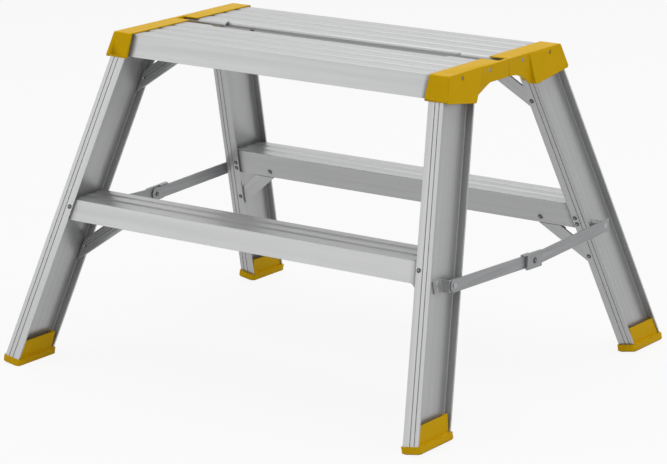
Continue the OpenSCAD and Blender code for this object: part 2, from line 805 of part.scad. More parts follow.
module brace_stile_rivet_places() {
    for (z = brace_heights) through_flange(true, brace_edge_b, z) children();
}

module brace_tread_rivet_places() {
    depth = brace_depth + skirt_t + fit;
    for (z = brace_heights)
        translate(concat(brace_tread_point(z), -depth)) rotate([180, 0, 0]) children();
}

module tread_rivets() {
    grip = flange_t + flange_twist * 2 + skirt_t + 2 * fit;
    color(dark_steel) both_sides() in_stile() {
        lower_tread_rivet_places() rivet(rivet_r, grip, rivet_head_r, rivet_head_h, rivet_head_h);
        upper_tread_rivet_places() rivet(rivet_r, grip, rivet_head_r, 0, rivet_head_h);
    }
}

module brace_rivets() {
    stile_grip = flange_t + brace_t + brace_rib_h + 2 * flange_twist + 2 * fit;
    tread_grip = skirt_t + brace_t + brace_rib_h + 2 * fit;
    color(dark_steel) both_sides() {
        in_stile() brace_stile_rivet_places()
            rivet(rivet_r, stile_grip, rivet_head_r, rivet_head_h, rivet_head_h);
        in_plane() brace_tread_rivet_places()
            rivet(rivet_r, tread_grip, rivet_head_r, rivet_head_h, rivet_head_h);
    }
}

// Stays

// Bent bracket on the right stile's web, with its ear beside the plain bar
module stay_bracket() {
    wall_y = -stay_reach - bracket_l / 2;
    z0 = stay_h - bracket_h / 2;
    web_b = web_t / 2 + fit;
    color(steel) difference() {
        union() {
            translate([ear_x, wall_y, z0]) cube([bracket_t, bracket_l, bracket_h]);
            translate([0, wall_y, z0]) cube([ear_x + bracket_t, bracket_t, bracket_h]);
            difference() {
                translate([0, wall_y - bracket_l + bracket_t, z0]) cube([ear_x, bracket_l, bracket_h]);
                outside(web_b + bracket_t);
            }
        }
        inside(web_b);
        in_splay() bracket_rivet_places() rivet_hole();
        stay_pivot_hole();
    }
}

// Round post on the left stile's web, which carries the bar with the clip plate
module stay_post() {
    color(steel) at_side(LEFT) difference() {
        at_stay_pivot(0) cylinder(r = post_r, h = clip_x - run_gap);
        inside(web_t / 2 + fit);
        stay_pivot_hole();
    }
}

// At a stay's end pivot on the right, with z along the pivot
module at_stay_pivot(x) {
    translate([x, -stay_reach, stay_h]) rotate([0, 90, 0]) children();
}

module stay_pivot_hole() {
    at_stay_pivot(0) cylinder(r = pivot_r + hole_fit, h = far);
}

// Two rivets through the bracket's foot and the web, in the splayed frame
module bracket_rivet_places() {
    y = ground_y - stay_reach - bracket_l + bracket_t / 2;
    z = stay_h / cos(splay);
    for (s = [LEFT, RIGHT])
        translate([web_t / 2 + fit + bracket_t, y, z + s * bracket_rivet_pitch / 2])
        rotate([0, 90, 0]) children();
}

module bracket_rivets() {
    grip = bracket_t + web_t + 2 * fit;
    color(steel) in_splay() bracket_rivet_places()
        rivet(rivet_r, grip, rivet_head_r, low_head_h, rivet_head_h);
}

// Rivets that the stay bars turn on: through the bracket's ear, and through the post and its web
module stay_pivots() {
    web_x = ground_x - stay_h * slope_x - web_t / 2 / cos(splay) - pivot_head_r * slope_x;
    color(steel) {
        at_stay_pivot(plain_x + bar_t + run_gap)
            rivet(pivot_r, bar_t + bracket_t + 2 * run_gap, pivot_head_r, low_head_h, rivet_head_h);
        at_side(LEFT) at_stay_pivot(clip_x + bar_t)
            sunk_rivet(pivot_r, clip_x + bar_t - web_x, pivot_head_r, rivet_head_h);
    }
}

// Outline of a stay bar from its end pivot at the origin to its middle pivot, in Y and Z, with the
// shape of its end as child
module bar_outline() {
    difference() {
        union() {
            children();
            translate([stay_l, 0]) circle(bar_w / 2);
            translate([0, -bar_w / 2]) square([stay_l, bar_w]);
        }
        for (y = [0, stay_l]) translate([y, 0]) circle(pivot_r + hole_fit);
    }
}

// Frame of a stay bar: y along it from its end pivot
module at_stay_end() {
    translate([0, -stay_reach, stay_h]) rotate([-stay_tilt, 0, 0]) children();
}

// Turns an outline about the middle pivot, in line with the other half's bar
module at_clip() {
    translate([stay_l, 0]) rotate(2 * stay_tilt) children();
}

// Plain bar, which lies behind the other half's clip plate
module plain_link() {
    color(steel) at_stay_end() along_x(plain_x, plain_x + bar_t) bar_outline() circle(bar_w / 2);
}

// Square-ended bar with a clip plate at the middle pivot, whose lip folds in over the plain bar
module clip_link() {
    lip_z = bar_w / 2 + run_gap;
    color(steel) at_side(LEFT) at_stay_end() difference() {
        union() {
            along_x(clip_x, clip_x + bar_t) bar_outline()
                translate([-bar_w / 2, -bar_w / 2]) square([bar_w, bar_w]);
            along_x(clip_x, clip_x + clip_t) at_clip() {
                translate([-clip_l / 2, -clip_h / 2]) square([clip_l, lip_z + bar_t + clip_h / 2]);
                translate([0, lip_z]) square([lip_l, bar_t]);
            }
            along_x(plain_x, clip_x + eps) at_clip()
                translate([lip_start, lip_z]) square([lip_l - lip_start, bar_t]);
        }
        translate([0, stay_l, 0]) rotate([0, 90, 0]) cylinder(r = pivot_r + hole_fit, h = far);
        translate([clip_x + bar_t - sunk_h, 0, 0]) rotate([0, 90, 0]) {
            cylinder(r1 = pivot_r + hole_fit, r2 = pivot_head_r + hole_fit, h = sunk_h);
            translate([0, 0, sunk_h]) cylinder(r = pivot_head_r + hole_fit, h = eps);
        }
    }
}

// Middle rivet of a stay: its head's half in the clip plate, and its tail's half in the plain bar
module stay_mid_rivet() {
    color(dark_steel) at_side(LEFT) at_stay_end() translate([clip_x + clip_t, stay_l, 0])
        rotate([0, 90, 0]) rivet(pivot_r, clip_t, pivot_head_r, rivet_head_h, 0);
}

module stay_mid_tail() {
    color(dark_steel) at_stay_end() translate([plain_x, stay_l, 0]) rotate([0, -90, 0])
        rivet(pivot_r, bar_t, rivet_head_r, rivet_head_h, 0);
}

stile(LEFT);  // front_left_stile
stile(RIGHT);  // front_right_stile
rear() stile(RIGHT);  // rear_left_stile
rear() stile(LEFT);  // rear_right_stile
top_tread();  // front_top_tread
rear() top_tread();  // rear_top_tread
lower_tread();  // front_lower_tread
rear() lower_tread();  // rear_lower_tread
lug_cap();  // front_left_cap
leaf_cap();  // front_right_cap
rear() leaf_cap();  // rear_left_cap
rear() lug_cap();  // rear_right_cap
foot(LEFT);  // front_left_foot
foot(RIGHT);  // front_right_foot
rear() foot(RIGHT);  // rear_left_foot
rear() foot(LEFT);  // rear_right_foot
brace(LEFT, 1);  // front_upper_left_brace
brace(RIGHT, 1);  // front_upper_right_brace
brace(LEFT, 0);  // front_lower_left_brace
brace(RIGHT, 0);  // front_lower_right_brace
rear() brace(RIGHT, 1);  // rear_upper_left_brace
rear() brace(LEFT, 1);  // rear_upper_right_brace
rear() brace(RIGHT, 0);  // rear_lower_left_brace
rear() brace(LEFT, 0);  // rear_lower_right_brace
stay_bracket();  // front_right_stay_bracket
rear() stay_bracket();  // rear_left_stay_bracket
stay_post();  // front_left_stay_post
rear() stay_post();  // rear_right_stay_post
clip_link();  // front_left_stay_link
plain_link();  // front_right_stay_link
rear() plain_link();  // rear_left_stay_link
rear() clip_link();  // rear_right_stay_link
stay_mid_rivet();  // left_stay_mid_rivet
rear() stay_mid_rivet();  // right_stay_mid_rivet
rear() stay_mid_tail();  // left_stay_mid_tail
stay_mid_tail();  // right_stay_mid_tail
hinge_pin();  // front_hinge_pin
rear() hinge_pin();  // rear_hinge_pin
tread_rivets();  // front_tread_rivets
rear() tread_rivets();  // rear_tread_rivets
brace_rivets();  // front_brace_rivets
rear() brace_rivets();  // rear_brace_rivets
cap_screws();  // front_cap_screws
rear() cap_screws();  // rear_cap_screws
bracket_rivets();  // front_bracket_rivets
rear() bracket_rivets();  // rear_bracket_rivets
stay_pivots();  // front_stay_pivots
rear() stay_pivots();  // rear_stay_pivots
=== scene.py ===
import json
import math

import bmesh
import bpy
import numpy as np
from mathutils import Matrix, Vector


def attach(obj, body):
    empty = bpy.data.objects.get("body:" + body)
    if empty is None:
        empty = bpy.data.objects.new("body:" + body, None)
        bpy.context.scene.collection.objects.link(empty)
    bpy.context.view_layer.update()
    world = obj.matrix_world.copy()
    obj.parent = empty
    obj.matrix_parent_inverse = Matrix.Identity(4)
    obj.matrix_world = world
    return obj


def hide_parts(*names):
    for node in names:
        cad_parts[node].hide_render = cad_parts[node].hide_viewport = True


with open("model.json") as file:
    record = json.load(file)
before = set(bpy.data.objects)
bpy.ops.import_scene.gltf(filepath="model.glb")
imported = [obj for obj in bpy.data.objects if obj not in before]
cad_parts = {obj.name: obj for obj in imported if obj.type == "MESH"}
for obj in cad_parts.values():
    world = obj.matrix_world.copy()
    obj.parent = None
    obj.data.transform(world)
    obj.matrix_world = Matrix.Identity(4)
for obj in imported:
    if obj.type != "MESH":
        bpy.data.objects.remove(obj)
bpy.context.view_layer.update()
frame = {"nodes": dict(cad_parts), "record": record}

# Camera that was fitted to the photograph, with its focal length in the photograph's pixels
PHOTO_WIDTH_PX = 667
FOCAL_PX = 2851.7
SENSOR_MM = 36.0
CAMERA_AT = (2.5024, -3.4558, 1.3119)
CAMERA_AZ = math.radians(35.951)
CAMERA_EL = math.radians(14.681)
CAMERA_ROLL = math.radians(-0.351)

# Lamps: place, width and height in metres, power in watts
LAMPS = {
    "key": ((-2.4, -3.1, 1.8), (2.2, 1.2), 10.0),
    "top": ((0.0, 0.5, 3.4), (5.0, 5.0), 107.0),
    "side": ((3.2, -0.6, 1.0), (1.6, 1.4), 13.0),
    "front": ((-1.0, -4.0, 0.5), (2.4, 0.9), 14.0),
}
LAMPS_FACE = (0.0, 0.0, 0.3)
WORLD_LIGHT = 0.15

# Floor: half its side, its drop under the soles, its paper and the share of plain white that the eye sees
FLOOR_HALF = 30.0
FLOOR_DROP = 0.0004
FLOOR_PAPER = (0.8, 0.8, 0.8, 1.0)
FLOOR_WHITE = 0.9

# Lines that the stiles and braces follow, as in the CAD model
LEAN = math.radians(21.2)
SPLAY = math.radians(9.8)
SLOPE_Y = math.tan(LEAN) / math.cos(SPLAY)
SLOPE_X = math.tan(SPLAY)
BRACE_ANGLE = math.radians(38.5)

YELLOW = (0.775, 0.458, 0.001, 1.0)
YELLOW_PALE = (0.83, 0.512, 0.004, 1.0)
ALUMINIUM = (0.48, 0.483, 0.487, 1.0)
ALUMINIUM_DULL = (0.43, 0.433, 0.437, 1.0)
ALUMINIUM_PAINTED_SHADE = (0.10, 0.10, 0.10, 1.0)
ALUMINIUM_WORN = (0.72, 0.72, 0.73, 1.0)
ZINC = (0.37, 0.374, 0.38, 1.0)
ZINC_DULL = (0.28, 0.284, 0.29, 1.0)
STEEL_WORN_AND_HIGHLIGHT = (0.7, 0.7, 0.71, 1.0)
RIVET_GREY = (0.10, 0.10, 0.105, 1.0)
RIVET_DULL = (0.07, 0.07, 0.075, 1.0)

# Noise: the range that it mostly has; edges: how fast a turned normal counts as one
NOISE_LOW = 0.3
NOISE_HIGH = 0.7
EDGE_GAIN = 4.0

# Shares of the second colour in clouds, mottling, worn plastic edges and worn steel edges with a painted
# highlight, and how far a steel's roughness varies
CLOUD_SHARE = 0.35
MOTTLE_SHARE = 0.3
PLASTIC_WEAR = 0.35
STEEL_WEAR_AND_HIGHLIGHT = 0.6
STEEL_VARIES = 0.06

# Aluminium: how metallic it is, how far from a corner the painted shade is looked for, in metres, the share
# of painted shade in the colour, how strongly it hides worn edges and how much it roughens
ALUMINIUM_METALLIC = 0.62
PAINTED_SHADE_REACH = 0.012
PAINTED_SHADE_SHARE = 0.6
PAINTED_SHADE_OVER_WEAR = 3.0
PAINTED_SHADE_ROUGHNESS = 0.4

# Radii of the rounded edges, their segments, and the room beside an edge, in radii, that a rounding needs
MOULDED_EDGE = 0.0008
LUG_CAP_EDGE = 0.0003
METAL_EDGE = 0.0004
MOULDED_SEGMENTS = 3
METAL_SEGMENTS = 2
ROOM = 1.5
LUG_CAP_ROOM = 4.0
LUG_CAPS = ("front_left_cap", "rear_right_cap")

# Angles between faces that are joined as one flat face, rounded as an edge and shaded as an edge
FLAT_WITHIN = math.radians(0.6)
ROUND_FROM = math.radians(25)
SHARP_FROM = math.radians(50)

# Distance within which a mesh's points are one point
WELD = 1e-6

# Rivets: sides of a turned form, materials of their faces, and their shapes in shares of height and radius
TURN_STEPS = 28
HEAD, TAIL, PIN = range(3)
TAIL_SHAPE = ((0.0, 0.6), (0.15, 0.88), (0.5, 1.0), (0.85, 0.94))
RIM_HEIGHT = 0.25
DOME_ANGLES = range(0, 91, 15)
PIN_RADIUS = 0.36
PIN_SHAPE = ((0.25, 0.94, HEAD), (0.25, 0.80, PIN), (0.05, 0.74, PIN))

# Rivets, in metres: how far a head's base is drawn in, the height below which a head is a sunk one, and the
# rim of a sunk head as (down, inward)
HEAD_RELIEF = 0.0001
SUNK_HEAD_MAX = 0.0002
SUNK_RIM = ((0.0002, 0.0003), (0.0, 0.0005))

# Cap screws: point, head and recess, in shares of radius and of the head's height
POINT_RADIUS = 0.55
SHOULDER_LOW = 0.35
SHOULDER_HIGH = 0.7
SHOULDER_RADIUS = 0.97
SCREW_FACE = 0.8
RECESS_REACH = 0.62
RECESS_HALF = 0.15
RECESS_DEPTH = 0.75
RECESS_TAPER = 0.45


def axes_across(axis):
    """An axis at length 1 and two directions square to it and to each other."""
    axis = Vector(axis).normalized()
    side = axis.orthogonal().normalized()
    return axis, side, axis.cross(side)


class Shader:
    """A material's node tree, with short calls for nodes and links."""

    def __init__(self, name):
        self.material = bpy.data.materials.new(name)
        self.material.use_nodes = True
        self.tree = self.material.node_tree
        self.bsdf = self.tree.nodes["Principled BSDF"]

    def node(self, kind, **settings):
        node = self.tree.nodes.new(kind)
        for key, value in settings.items():
            setattr(node, key, value)
        return node

    def link(self, source, target):
        self.tree.links.new(source, target)

    def feed(self, name, source):
        """Links a source to an input of the surface."""
        self.link(source, self.bsdf.inputs[name])

    def math(self, operation, a, b, clamp=False):
        node = self.node("ShaderNodeMath", operation=operation, use_clamp=clamp)
        for socket, value in zip(node.inputs, (a, b)):
            if isinstance(value, (int, float)):
                socket.default_value = value
            else:
                self.link(value, socket)
        return node.outputs[0]

    def noise(self, vector, scale, detail=2.0, roughness=0.5):
        node = self.node("ShaderNodeTexNoise")
        node.inputs["Scale"].default_value = scale
        node.inputs["Detail"].default_value = detail
        node.inputs["Roughness"].default_value = roughness
        self.link(vector, node.inputs["Vector"])
        return node.outputs[0]

    def spread(self, value, low, high):
        """Maps the range that noise mostly has to low to high."""
        node = self.node("ShaderNodeMapRange")
        node.inputs["From Min"].default_value = NOISE_LOW
        node.inputs["From Max"].default_value = NOISE_HIGH
        node.inputs["To Min"].default_value = low
        node.inputs["To Max"].default_value = high
        self.link(value, node.inputs["Value"])
        return node.outputs[0]

    def mix(self, factor, a, b):
        node = self.node("ShaderNodeMix", data_type="RGBA")
        self.link(factor, node.inputs["Factor"])
        for socket, value in zip((node.inputs[6], node.inputs[7]), (a, b)):
            if isinstance(value, tuple):
                socket.default_value = value
            else:
                self.link(value, socket)
        return node.outputs[2]

    def position(self):
        return self.node("ShaderNodeTexCoord").outputs["Object"]

    def stretched(self, axis, shrink):
        """Object coordinates pressed together along an axis, so that noise runs in streaks."""
        axis, side, across = axes_across(axis)
        place = self.position()
        joined = self.node("ShaderNodeCombineXYZ")
        for socket, vector in zip(joined.inputs, (side, across, axis * shrink)):
            dot = self.node("ShaderNodeVectorMath", operation="DOT_PRODUCT")
            self.link(place, dot.inputs[0])
            dot.inputs[1].default_value = vector
            self.link(dot.outputs["Value"], socket)
        return joined.outputs[0]

    def edges(self, radius):
        """0 on flat faces and 1 at edges, by how far a rounded normal turns, and the rounded normal."""
        bevel = self.node("ShaderNodeBevel", samples=6)
        bevel.inputs["Radius"].default_value = radius
        plain = self.node("ShaderNodeNewGeometry")
        dot = self.node("ShaderNodeVectorMath", operation="DOT_PRODUCT")
        self.link(bevel.outputs[0], dot.inputs[0])
        self.link(plain.outputs["Normal"], dot.inputs[1])
        turned = self.math("SUBTRACT", 1.0, dot.outputs["Value"])
        return self.math("MULTIPLY", turned, EDGE_GAIN, clamp=True), bevel.outputs[0]

    def corners(self, reach, depth, alone):
        """0 on open faces and 1 in corners and grooves where only a share, depth, of the sky is left.

        Only the piece itself covers the sky if it is alone, and its neighbours too if not.
        """
        cover = self.node("ShaderNodeAmbientOcclusion", samples=8, only_local=alone)
        cover.inputs["Distance"].default_value = reach
        node = self.node("ShaderNodeMapRange")
        node.inputs["From Min"].default_value = 1.0
        node.inputs["From Max"].default_value = depth
        self.link(cover.outputs["AO"], node.inputs["Value"])
        return node.outputs[0]

    def bump(self, height, strength, distance, normal):
        node = self.node("ShaderNodeBump")
        node.inputs["Strength"].default_value = strength
        node.inputs["Distance"].default_value = distance
        self.link(height, node.inputs["Height"])
        self.link(normal, node.inputs["Normal"])
        self.feed("Normal", node.outputs[0])


def extruded_aluminium(name, axis, alone=True, worn=0.5, depth=0.45):
    """Satin extrusion: fine die lines along the axis, clouding, brighter edges and painted shade in corners.
    """
    look = Shader(name)
    lines = look.noise(look.stretched(axis, shrink=0.004), scale=900.0, detail=3.0, roughness=0.6)
    streaks = look.noise(look.stretched(axis, shrink=0.01), scale=130.0, detail=2.0)
    clouds = look.noise(look.position(), scale=14.0, detail=3.0)
    wear, soft = look.edges(radius=0.0006)
    tone = look.mix(look.spread(streaks, 0.0, 1.0), ALUMINIUM_DULL, ALUMINIUM)
    tone = look.mix(look.math("MULTIPLY", look.spread(clouds, 0.0, 1.0), CLOUD_SHARE), tone, ALUMINIUM_DULL)
    # Painted shade: darker, less metallic and rougher where nearby faces cover the sky, as in corners and
    # grooves
    painted_shade = look.corners(PAINTED_SHADE_REACH, depth, alone)
    tone = look.mix(look.math("MULTIPLY", painted_shade, PAINTED_SHADE_SHARE), tone, ALUMINIUM_PAINTED_SHADE)
    covered = look.math("MULTIPLY", painted_shade, PAINTED_SHADE_OVER_WEAR)
    polish = look.math("SUBTRACT", look.math("MULTIPLY", wear, worn), covered, clamp=True)
    look.feed("Base Color", look.mix(polish, tone, ALUMINIUM_WORN))
    look.feed("Metallic", look.math("SUBTRACT", ALUMINIUM_METALLIC, painted_shade, clamp=True))
    rough_in_shade = look.math("MULTIPLY", painted_shade, PAINTED_SHADE_ROUGHNESS)
    look.feed("Roughness", look.math("ADD", look.spread(lines, 0.30, 0.42), rough_in_shade))
    look.bump(lines, strength=0.12, distance=0.0002, normal=soft)
    return look.material


def moulded_plastic(name):
    """Moulded plastic: fine spark texture, slight mottling and paler worn edges."""
    look = Shader(name)
    grain = look.noise(look.position(), scale=1600.0, detail=2.0, roughness=0.6)
    mottle = look.noise(look.position(), scale=45.0, detail=3.0)
    wear, soft = look.edges(radius=0.0012)
    tone = look.mix(look.math("MULTIPLY", look.spread(mottle, 0.0, 1.0), MOTTLE_SHARE), YELLOW, YELLOW_PALE)
    look.feed("Base Color", look.mix(look.math("MULTIPLY", wear, PLASTIC_WEAR), tone, YELLOW_PALE))
    look.feed("Roughness", look.spread(grain, 0.40, 0.52))
    look.bsdf.inputs["Specular IOR Level"].default_value = 0.06
    look.bump(grain, strength=0.15, distance=0.0002, normal=soft)
    return look.material


def plated_steel(name, bright, dull, metallic, rough, axis=None):
    """Plated or plain metal: fine grain, blotches or streaks along an axis, and polished edges brightened as
    a painted highlight.
    """
    look = Shader(name)
    place = look.stretched(axis, shrink=0.03) if axis else look.position()
    grain = look.noise(place, scale=1100.0, detail=3.0, roughness=0.6)
    blotch = look.noise(place, scale=280.0 if axis else 90.0, detail=4.0, roughness=0.6)
    wear, soft = look.edges(radius=0.0005)
    tone = look.mix(look.spread(blotch, 0.0, 1.0), dull, bright)
    # Paler edges: partly polish, partly a painted highlight along the edges
    look.feed("Base Color", look.mix(look.math("MULTIPLY", wear, STEEL_WEAR_AND_HIGHLIGHT), tone, STEEL_WORN_AND_HIGHLIGHT))
    look.bsdf.inputs["Metallic"].default_value = metallic
    look.feed("Roughness", look.spread(grain, rough - STEEL_VARIES, rough + STEEL_VARIES))
    look.bump(grain, strength=0.1, distance=0.0002, normal=soft)
    return look.material


def stile_axis(name):
    """Direction of the stile that a node's name places, up along it."""
    x = SLOPE_X if "left" in name else -SLOPE_X
    y = SLOPE_Y if "front" in name else -SLOPE_Y
    return (x, y, 1.0)


def brace_axis(name):
    """Direction of a brace, from its stile up to its tread."""
    up = math.sin(BRACE_ANGLE)
    x = math.cos(BRACE_ANGLE) * (1.0 if "left" in name else -1.0)
    lean = math.atan(SLOPE_Y)
    y = up * math.sin(lean) * (1.0 if "front" in name else -1.0)
    return (x, y, up * math.cos(lean))


bodies = frame["record"]["behaviour"]["bodies"]
body_of_node = {node: body for body, names in bodies.items() for node in names}
slot_of_node = {row["node"]: row["material_slot"] for row in frame["record"]["subparts"]}

plastic = moulded_plastic("yellow_plastic")
steel = plated_steel("zinc_plate", ZINC, ZINC_DULL, metallic=0.6, rough=0.42)
drawn_steel = plated_steel("drawn_steel", ZINC, ZINC_DULL, metallic=0.6, rough=0.40, axis=(0.0, 1.0, 0.0))
# Brackets, posts, their rivets and pivots take aluminium's paler grey in place of zinc; on the bracket plates
# this paler tone is partly painted light
bracket_steel_painted_light = plated_steel("bracket_steel_painted_light", ALUMINIUM, ALUMINIUM_DULL, metallic=0.6, rough=0.38)
rivet_steel = plated_steel("rivet_steel", RIVET_GREY, RIVET_DULL, metallic=0.5, rough=0.45)
rivet_alloy = plated_steel("rivet_alloy", ALUMINIUM, ALUMINIUM_DULL, metallic=0.6, rough=0.42)
# Treads take painted shade from their neighbours too, in the gap between the treads and along the caps, and
# in their grooves
along_tread = extruded_aluminium("aluminium_tread", (1.0, 0.0, 0.0), alone=False, worn=0.1, depth=0.75)


def node_material(node):
    """The material of a CAD node, by its kind."""
    if node.endswith("_stile"):
        return extruded_aluminium("aluminium_" + node, stile_axis(node))
    if node.endswith("_brace"):
        return extruded_aluminium("aluminium_" + node, brace_axis(node))
    if node.endswith("_tread"):
        return along_tread
    if node.endswith("_stay_link"):
        return drawn_steel
    if node.endswith(("_stay_bracket", "_stay_post", "_bracket_rivets", "_stay_pivots")):
        return bracket_steel_painted_light
    return {"yellow_plastic": plastic, "plated_steel": steel, "dark_rivet": rivet_steel}[slot_of_node[node]]


material_of_node = {node: node_material(node) for node in frame["nodes"]}
for node, material in material_of_node.items():
    data = frame["nodes"][node].data
    data.materials.clear()
    data.materials.append(material)


def add_piece(name, work, node, materials):
    """An object that stands for a CAD node and moves with its body, with flat faces that shade flat."""
    mesh = bpy.data.meshes.new(name)
    work.to_mesh(mesh)
    work.free()
    for face in mesh.polygons:
        face.use_smooth = True
    mesh.set_sharp_from_angle(angle=SHARP_FROM)
    for material in materials:
        mesh.materials.append(material)
    piece = bpy.data.objects.new(name, mesh)
    bpy.context.scene.collection.objects.link(piece)
    weighted = piece.modifiers.new("normals", "WEIGHTED_NORMAL")
    weighted.keep_sharp = True
    weighted.weight = 100
    bpy.context.view_layer.update()
    ready = piece.evaluated_get(bpy.context.evaluated_depsgraph_get())
    piece.data = bpy.data.meshes.new_from_object(ready)
    piece.modifiers.clear()
    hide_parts(node)
    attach(piece, body_of_node[node])


def clean_copy(node):
    """A node's mesh with its points joined and its flat faces in one piece."""
    work = bmesh.new()
    work.from_mesh(frame["nodes"][node].data)
    bmesh.ops.remove_doubles(work, verts=work.verts, dist=WELD)
    bmesh.ops.dissolve_limit(
        work, angle_limit=FLAT_WITHIN, use_dissolve_boundaries=False, verts=work.verts, edges=work.edges)
    return work


def least_room(edge):
    """Length of the shortest edge at either end of an edge."""
    return min(other.calc_length() for vert in edge.verts for other in vert.link_edges)


def rounded_copy(node, width, segments, room=ROOM):
    """A copy of a CAD node with its sharp edges rounded where the faces beside them leave room."""
    work = clean_copy(node)
    edges = [edge for edge in work.edges
             if edge.calc_face_angle() > ROUND_FROM and least_room(edge) > room * width]
    bmesh.ops.bevel(
        work, geom=edges, offset=width, offset_type="OFFSET", segments=segments, profile=0.5, affect="EDGES")
    add_piece("rounded_" + node, work, node, [material_of_node[node]])


def loose_solids(node):
    """The points of each separate solid of a node."""
    work = clean_copy(node)
    left = set(work.verts)
    solids = []
    while left:
        reached = {left.pop()}
        solid = []
        while reached:
            vert = reached.pop()
            solid.append(vert)
            near = {edge.other_vert(vert) for edge in vert.link_edges} & left
            left -= near
            reached |= near
        solids.append(np.array(sorted(tuple(vert.co) for vert in solid)))
    work.free()
    return sorted(solids, key=lambda points: tuple(points.mean(axis=0)))


def turned_rings(points):
    """Middle and axis of a turned solid, with its widest end ahead, and its rings as (place, radius)."""
    middle = points.mean(axis=0)
    spreads, axes = np.linalg.eigh(np.cov((points - middle).T))
    axis = axes[:, 2] if spreads[2] - spreads[1] > spreads[1] - spreads[0] else axes[:, 0]
    along = (points - middle) @ axis
    around = np.linalg.norm(points - middle - np.outer(along, axis), axis=1)
    if along[around.argmax()] < (along.max() + along.min()) / 2:
        axis, along = -axis, -along
    rings = sorted({(round(float(a), 5), round(float(r), 5)) for a, r in zip(along, around)})
    return middle, axis, rings


def turn(work, middle, axis, profile, closed=True):
    """Turns a profile of (place, radius, material) about an axis, with its last end closed or open."""
    axis, side, across = axes_across(axis)
    loops = []
    for place, radius, _ in profile:
        centre = Vector(middle) + axis * place
        loops.append([work.verts.new(centre + (side * math.cos(t) + across * math.sin(t)) * radius)
                      for t in (2 * math.pi * k / TURN_STEPS for k in range(TURN_STEPS))])
    work.faces.new(loops[0][::-1]).material_index = profile[0][2]
    if closed:
        work.faces.new(loops[-1]).material_index = profile[-1][2]
    for low, high, (_, _, slot) in zip(loops, loops[1:], profile[1:]):
        for k in range(TURN_STEPS):
            after = (k + 1) % TURN_STEPS
            work.faces.new((low[k], low[after], high[after], high[k])).material_index = slot
    return loops[-1]


def tail_profile(rings):
    """Rounded tail and shank of a rivet, up to the base of its head."""
    end, tail_r = rings[0]
    top, _ = rings[1]
    shank_r = min(r for _, r in rings)
    if tail_r == shank_r:
        return [(end, shank_r, TAIL)]
    high = top - end
    return [(end + h * high, r * tail_r, TAIL) for h, r in TAIL_SHAPE] + [(top, shank_r, TAIL)]


def head_profile(rings):
    """Domed head of a rivet with the end of its pulled pin in the middle, or the face of a sunk one."""
    top, _ = rings[-1]
    head_r = max(r for _, r in rings)
    base = min(place for place, r in rings if r == head_r)
    shank_r = min(r for _, r in rings)
    high = top - base
    if high < SUNK_HEAD_MAX:
        below = max(place for place, r in rings if r == shank_r)
        return [(below, shank_r, HEAD)] + [(top - down, head_r - inward, HEAD) for down, inward in SUNK_RIM]
    pin_r = PIN_RADIUS * head_r
    dome = []
    for a in map(math.radians, DOME_ANGLES):
        rise = RIM_HEIGHT + (1.0 - RIM_HEIGHT) * math.sin(a)
        dome.append((base + high * rise, pin_r + (head_r - pin_r) * math.cos(a), HEAD))
    pin = [(top - down * high, r * pin_r, slot) for down, r, slot in PIN_SHAPE]
    return [(base, shank_r, HEAD), (base, head_r - HEAD_RELIEF, HEAD)] + dome + pin


def rivets(node, head, tail, pin):
    """The rivets of a node with domed heads, rounded tails and the ends of their pins."""
    work = bmesh.new()
    for points in loose_solids(node):
        middle, axis, rings = turned_rings(points)
        turn(work, middle, axis, tail_profile(rings) + head_profile(rings))
    add_piece("formed_" + node, work, node, [head, tail, pin])


def screw_profile(rings):
    """Pointed shank and rounded head of a screw, up to the rim round its recess."""
    end, shank_r = rings[0]
    top, face_r = rings[-1]
    head_r = max(r for _, r in rings)
    base = min(place for place, r in rings if r == head_r)
    high = top - base
    outline = [(end, POINT_RADIUS * shank_r), (end + shank_r, shank_r), (base, shank_r), (base, head_r),
               (base + SHOULDER_LOW * high, SHOULDER_RADIUS * head_r),
               (base + SHOULDER_HIGH * high, (head_r + face_r) / 2),
               (top, SCREW_FACE * face_r)]
    return [(place, radius, HEAD) for place, radius in outline], high


def cross_recess(work, middle, axis, rim, top, face_r, high):
    """Closes a screw's rim with a face that has a tapered cross sunk in it."""
    axis, side, across = axes_across(axis)
    reach = RECESS_REACH * face_r
    half = RECESS_HALF * face_r
    quarter = [(reach, half), (half, half), (half, reach)]
    outline = []
    for _ in range(4):
        outline += quarter
        quarter = [(-y, x) for x, y in quarter]
    loops = []
    for place, share in ((top, 1.0), (top - RECESS_DEPTH * high, RECESS_TAPER)):
        centre = Vector(middle) + axis * place
        loops.append([work.verts.new(centre + side * (x * share) + across * (y * share)) for x, y in outline])
    mouth, floor = loops
    count = len(mouth)
    for k in range(count):
        after = (k + 1) % count
        work.faces.new((mouth[after], mouth[k], floor[k], floor[after]))
    work.faces.new(floor)
    ring = [work.edges.get((a, b)) for loop in (rim, mouth) for a, b in zip(loop, loop[1:] + loop[:1])]
    bmesh.ops.triangle_fill(work, edges=ring, use_beauty=True, normal=axis)


def cross_screws(node):
    """The screws of a node with rounded heads and cross recesses."""
    work = bmesh.new()
    for points in loose_solids(node):
        middle, axis, rings = turned_rings(points)
        top, face_r = rings[-1]
        profile, high = screw_profile(rings)
        rim = turn(work, middle, axis, profile, closed=False)
        cross_recess(work, middle, axis, rim, top, face_r, high)
    bmesh.ops.recalc_face_normals(work, faces=work.faces)
    add_piece("cross_" + node, work, node, [material_of_node[node]])


